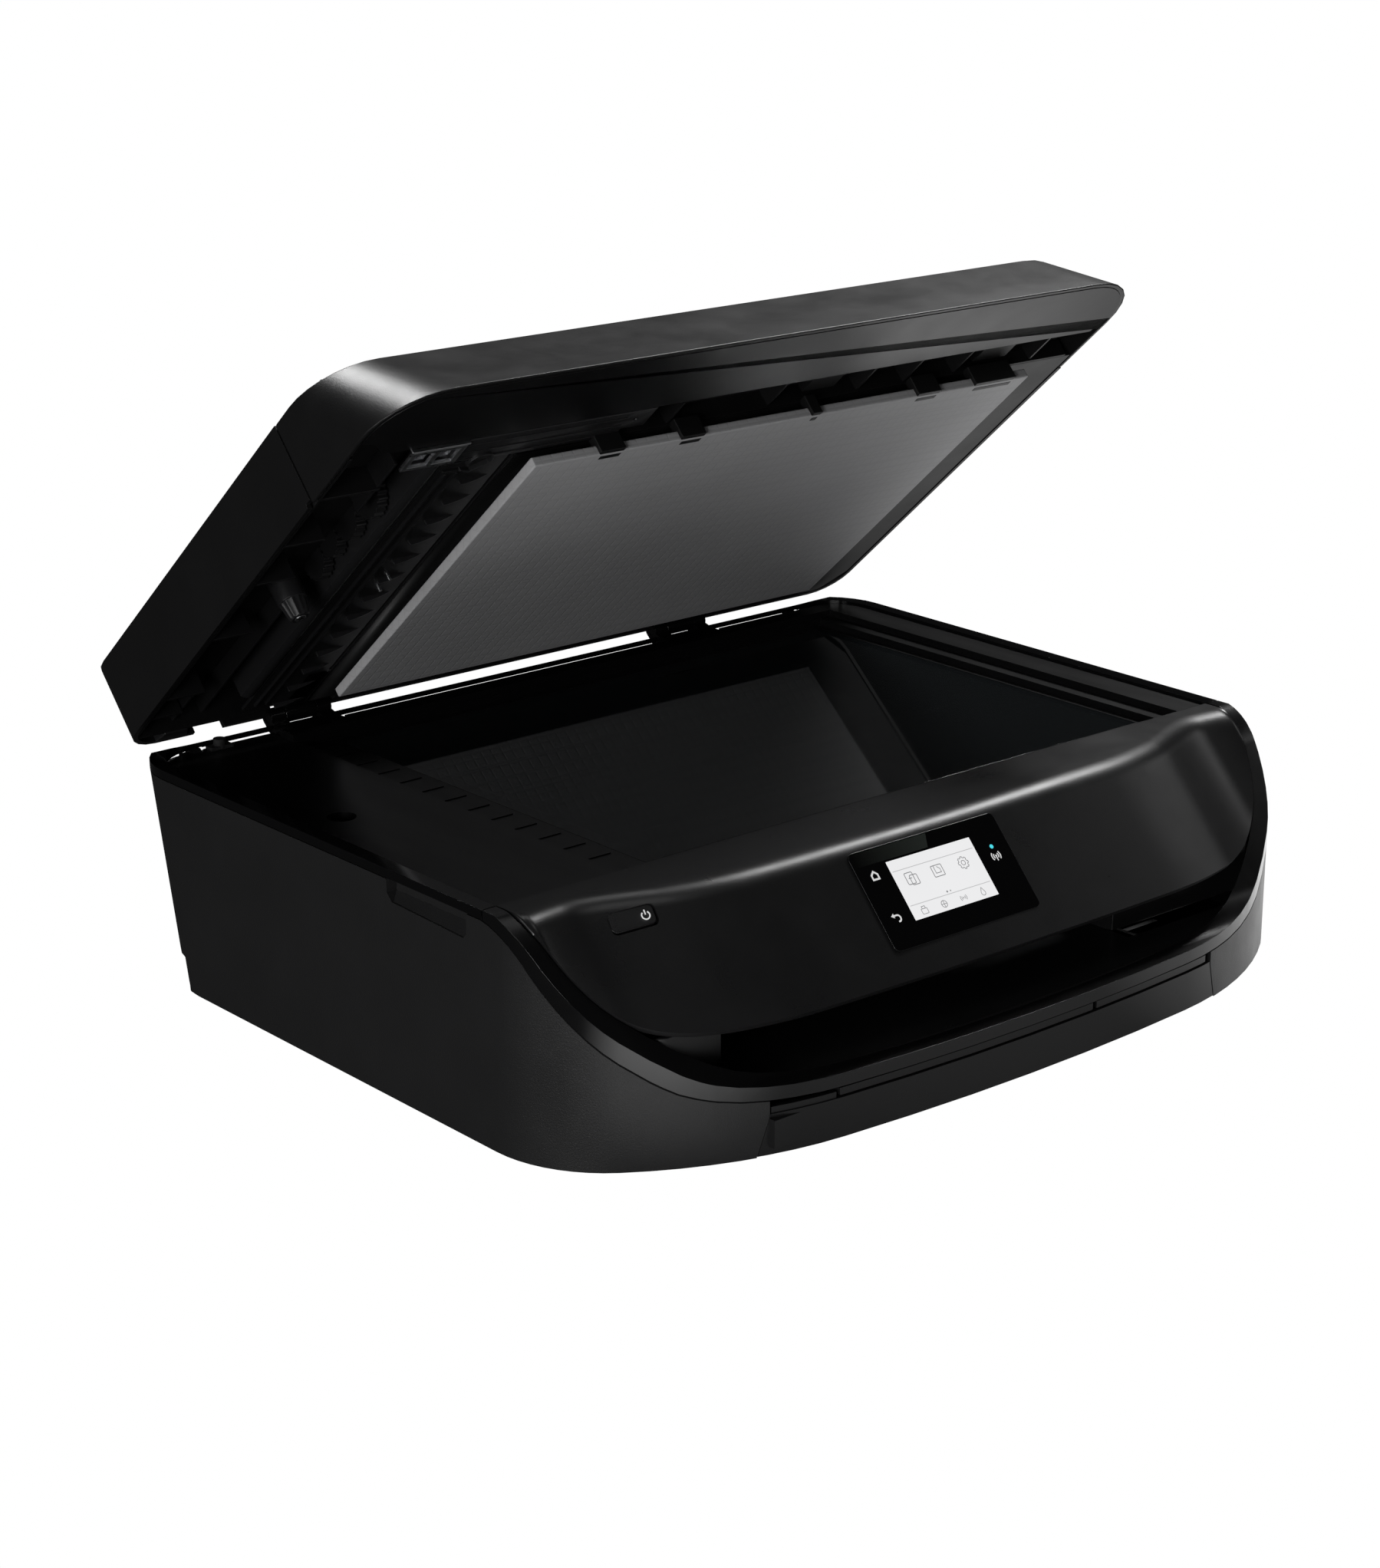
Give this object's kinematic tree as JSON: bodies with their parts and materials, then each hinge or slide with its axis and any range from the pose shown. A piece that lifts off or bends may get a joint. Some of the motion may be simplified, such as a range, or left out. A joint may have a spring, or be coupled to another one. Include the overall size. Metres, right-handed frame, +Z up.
{
  "type": "inkjet printer",
  "caption": "Low all-in-one inkjet printer with a curved front, tilting control panel, flatbed scanner under a document-feeder lid standing open, paper tray and working paper path.",
  "frame": {"origin": "centre of the bounding box, on the table under the feet", "axes": "+X is the printer's right side seen from its front, +Y points to its back and +Z is up"},
  "size_m": [0.445, 0.3908, 0.3108],
  "materials": {
    "housing_black": "fine grain",
    "satin_black": "satin",
    "gloss_black": "piano gloss",
    "inner_black": "plain moulded",
    "foam_grey": "foam sheet",
    "steel_plate": "zinc plated",
    "bright_steel": "ground",
    "rubber_black": "matt",
    "rubber_grey": "matt",
    "white_plastic": "acetal",
    "platen_glass": "clear",
    "circuit_green": "solder mask",
    "cartridge_black": "moulded",
    "cartridge_blue": "moulded",
    "latch_blue": "moulded"
  },
  "bodies": {
    "base": {"base_pan": "inner_black", "side_panel_left": "housing_black", "side_panel_right": "housing_black", "rear_cover": "housing_black", "trim_ring": "gloss_black", "bay_liner": "satin_black", "output_shelf": "satin_black", "print_platen": "inner_black", "chassis_frame": "steel_plate", "carriage_rod": "bright_steel", "carriage_belt": "rubber_black", "service_station": "inner_black", "turn_guide": "inner_black", "drive_motors": "steel_plate", "main_board": "circuit_green", "power_supply": "inner_black", "feet": "rubber_grey", "screws": "steel_plate"},
    "scanner_unit": {"scanner_tub": "inner_black", "scan_deck": "gloss_black", "scan_rim": "gloss_black", "platen_glass": "platen_glass", "scan_rail": "bright_steel", "control_panel": "satin_black", "touch_panel": "gloss_black", "hinge_brackets": "gloss_black", "feeder_cable": "rubber_black"},
    "lid": {"lid_front": "housing_black", "lid_shell": "housing_black", "lid_base": "satin_black", "document_pad": "foam_grey", "hinge_arms": "gloss_black"},
    "paper_tray": {"paper_tray": "satin_black"},
    "tray_guide_left": {"tray_guide_left": "inner_black"},
    "tray_guide_right": {"tray_guide_right": "inner_black"},
    "tray_length_guide": {"tray_length_guide": "inner_black"},
    "output_extender": {"output_extender": "satin_black"},
    "print_carriage": {"print_carriage": "inner_black"},
    "black_cartridge": {"black_cartridge": "cartridge_black"},
    "colour_cartridge": {"colour_cartridge": "cartridge_blue"},
    "latch_black": {"latch_black": "latch_blue"},
    "latch_colour": {"latch_colour": "latch_blue"},
    "feed_roller": {"feed_roller": "rubber_grey"},
    "drive_gear": {"drive_gear": "white_plastic"},
    "eject_roller": {"eject_roller": "rubber_grey"},
    "star_wheels": {"star_wheels": "bright_steel"},
    "transport_roller": {"transport_roller": "rubber_grey"},
    "pick_arm": {"pick_arm": "inner_black"},
    "pick_roller": {"pick_roller": "rubber_grey"},
    "drive_pulley": {"drive_pulley": "white_plastic"},
    "idler_pulley": {"idler_pulley": "white_plastic"},
    "scan_bar": {"scan_bar": "inner_black"},
    "scan_pinion": {"scan_pinion": "white_plastic"},
    "power_button": {"power_button": "satin_black"},
    "adf_cover": {"adf_cover": "gloss_black"},
    "feeder_flap": {"feeder_flap": "gloss_black"},
    "adf_guide_front": {"adf_guide_front": "inner_black"},
    "adf_guide_rear": {"adf_guide_rear": "inner_black"},
    "adf_pick_roller": {"adf_pick_roller": "rubber_grey"},
    "adf_drive_roller": {"adf_drive_roller": "rubber_grey"}
  },
  "joints": [
    {"name": "access_hinge", "type": "hinge", "parent": "base", "child": "scanner_unit", "pos_m": [0, 0.16559, 0.0995], "axis": [-1, 0, 0], "range_deg": [0, 25]},
    {"name": "lid_hinge", "type": "hinge", "parent": "scanner_unit", "child": "lid", "pos_m": [0, 0.17009, 0.1078], "axis": [-1, 0, 0], "range_deg": [-41.8, 23.2]},
    {"name": "adf_cover_hinge", "type": "hinge", "parent": "lid", "child": "adf_cover", "pos_m": [-0.2105, 0.11953, 0.20129], "axis": [0, -0.7455, 0.6665], "range_deg": [0, 65]},
    {"name": "feeder_flap_hinge", "type": "hinge", "parent": "lid", "child": "feeder_flap", "pos_m": [0.2105, 0.11953, 0.20129], "axis": [0, 0.7455, -0.6665], "range_deg": [0, 95]},
    {"name": "adf_guide_rear_slide", "type": "slide", "parent": "lid", "child": "adf_guide_rear", "axis": [0, -0.7455, 0.6665], "range_m": [0, 0.08]},
    {"name": "adf_guide_front_slide", "type": "slide", "parent": "lid", "child": "adf_guide_front", "axis": [0, 0.7455, -0.6665], "range_m": [0, 0.08]},
    {"name": "adf_drive_spin", "type": "hinge", "parent": "lid", "child": "adf_drive_roller", "pos_m": [-0.154, 0.16484, 0.13194], "axis": [0, 0.7455, -0.6665], "continuous": true},
    {"name": "adf_pick_spin", "type": "hinge", "parent": "lid", "child": "adf_pick_roller", "pos_m": [-0.045, 0.17117, 0.13902], "axis": [0, 0.7455, -0.6665], "continuous": true},
    {"name": "paper_tray_slide", "type": "slide", "parent": "base", "child": "paper_tray", "axis": [0, -1, 0], "range_m": [0, 0.2]},
    {"name": "tray_guide_left_slide", "type": "slide", "parent": "paper_tray", "child": "tray_guide_left", "axis": [1, 0, 0], "range_m": [0, 0.055]},
    {"name": "tray_guide_right_slide", "type": "slide", "parent": "paper_tray", "child": "tray_guide_right", "axis": [-1, 0, 0], "range_m": [0, 0.055]},
    {"name": "tray_length_slide", "type": "slide", "parent": "paper_tray", "child": "tray_length_guide", "axis": [0, 1, 0], "range_m": [0, 0.11]},
    {"name": "extender_slide", "type": "slide", "parent": "base", "child": "output_extender", "axis": [0, -1, 0], "range_m": [0, 0.12]},
    {"name": "carriage_slide", "type": "slide", "parent": "base", "child": "print_carriage", "axis": [-1, 0, 0], "range_m": [0, 0.298]},
    {"name": "black_cartridge_slide", "type": "slide", "parent": "print_carriage", "child": "black_cartridge", "axis": [0, -1, 0], "range_m": [0, 0.05]},
    {"name": "colour_cartridge_slide", "type": "slide", "parent": "print_carriage", "child": "colour_cartridge", "axis": [0, -1, 0], "range_m": [0, 0.05]},
    {"name": "latch_black_hinge", "type": "hinge", "parent": "print_carriage", "child": "latch_black", "pos_m": [0.1645, 0.02659, 0.066], "axis": [-1, 0, 0], "range_deg": [0, 16]},
    {"name": "latch_colour_hinge", "type": "hinge", "parent": "print_carriage", "child": "latch_colour", "pos_m": [0.1255, 0.02659, 0.066], "axis": [-1, 0, 0], "range_deg": [0, 16]},
    {"name": "feed_spin", "type": "hinge", "parent": "base", "child": "feed_roller", "pos_m": [0, 0.04859, 0.033], "axis": [1, 0, 0], "continuous": true},
    {"name": "drive_spin", "type": "hinge", "parent": "base", "child": "drive_gear", "pos_m": [-0.204, 0.02105, 0.02794], "axis": [1, 0, 0], "continuous": true},
    {"name": "eject_spin", "type": "hinge", "parent": "base", "child": "eject_roller", "pos_m": [0, -0.00541, 0.0333], "axis": [1, 0, 0], "continuous": true},
    {"name": "star_spin", "type": "hinge", "parent": "base", "child": "star_wheels", "pos_m": [0, -0.00541, 0.043], "axis": [1, 0, 0], "continuous": true},
    {"name": "transport_spin", "type": "hinge", "parent": "base", "child": "transport_roller", "pos_m": [0, 0.11659, 0.033], "axis": [1, 0, 0], "continuous": true},
    {"name": "pick_arm_hinge", "type": "hinge", "parent": "base", "child": "pick_arm", "pos_m": [0, 0.09459, 0.047], "axis": [-1, 0, 0], "range_deg": [0, 20]},
    {"name": "pick_spin", "type": "hinge", "parent": "pick_arm", "child": "pick_roller", "pos_m": [0, 0.07741, 0.02], "axis": [1, 0, 0], "continuous": true},
    {"name": "drive_pulley_spin", "type": "hinge", "parent": "base", "child": "drive_pulley", "pos_m": [0.186, 0.06309, 0.052], "axis": [0, 1, 0], "continuous": true},
    {"name": "idler_pulley_spin", "type": "hinge", "parent": "base", "child": "idler_pulley", "pos_m": [-0.186, 0.06309, 0.052], "axis": [0, 1, 0], "continuous": true},
    {"name": "scan_bar_slide", "type": "slide", "parent": "scanner_unit", "child": "scan_bar", "axis": [1, 0, 0], "range_m": [0, 0.28]},
    {"name": "scan_pinion_spin", "type": "hinge", "parent": "scan_bar", "child": "scan_pinion", "pos_m": [-0.1085, 0.04959, 0.08615], "axis": [0, 1, 0], "continuous": true},
    {"name": "power_button_slide", "type": "slide", "parent": "scanner_unit", "child": "power_button", "axis": [0.2381, 0.6915, -0.682], "range_m": [0, 0.0008], "stiffness_N_per_m": 600}
  ],
  "couplings": [
    {"joint": "adf_guide_front_slide", "follows": "adf_guide_rear_slide", "ratio": 1},
    {"joint": "adf_pick_spin", "follows": "adf_drive_spin", "ratio": 1.2778},
    {"joint": "tray_guide_right_slide", "follows": "tray_guide_left_slide", "ratio": 1},
    {"joint": "drive_spin", "follows": "feed_spin", "ratio": -1.1538},
    {"joint": "eject_spin", "follows": "feed_spin", "ratio": 1.0714},
    {"joint": "star_spin", "follows": "feed_spin", "ratio": -1.119},
    {"joint": "transport_spin", "follows": "feed_spin", "ratio": 0.33333},
    {"joint": "pick_spin", "follows": "feed_spin", "ratio": 0.52632},
    {"joint": "drive_pulley_spin", "follows": "carriage_slide", "rad_per_m": -155.04},
    {"joint": "idler_pulley_spin", "follows": "carriage_slide", "rad_per_m": -155.04},
    {"joint": "scan_pinion_spin", "follows": "scan_bar_slide", "rad_per_m": 200}
  ]
}
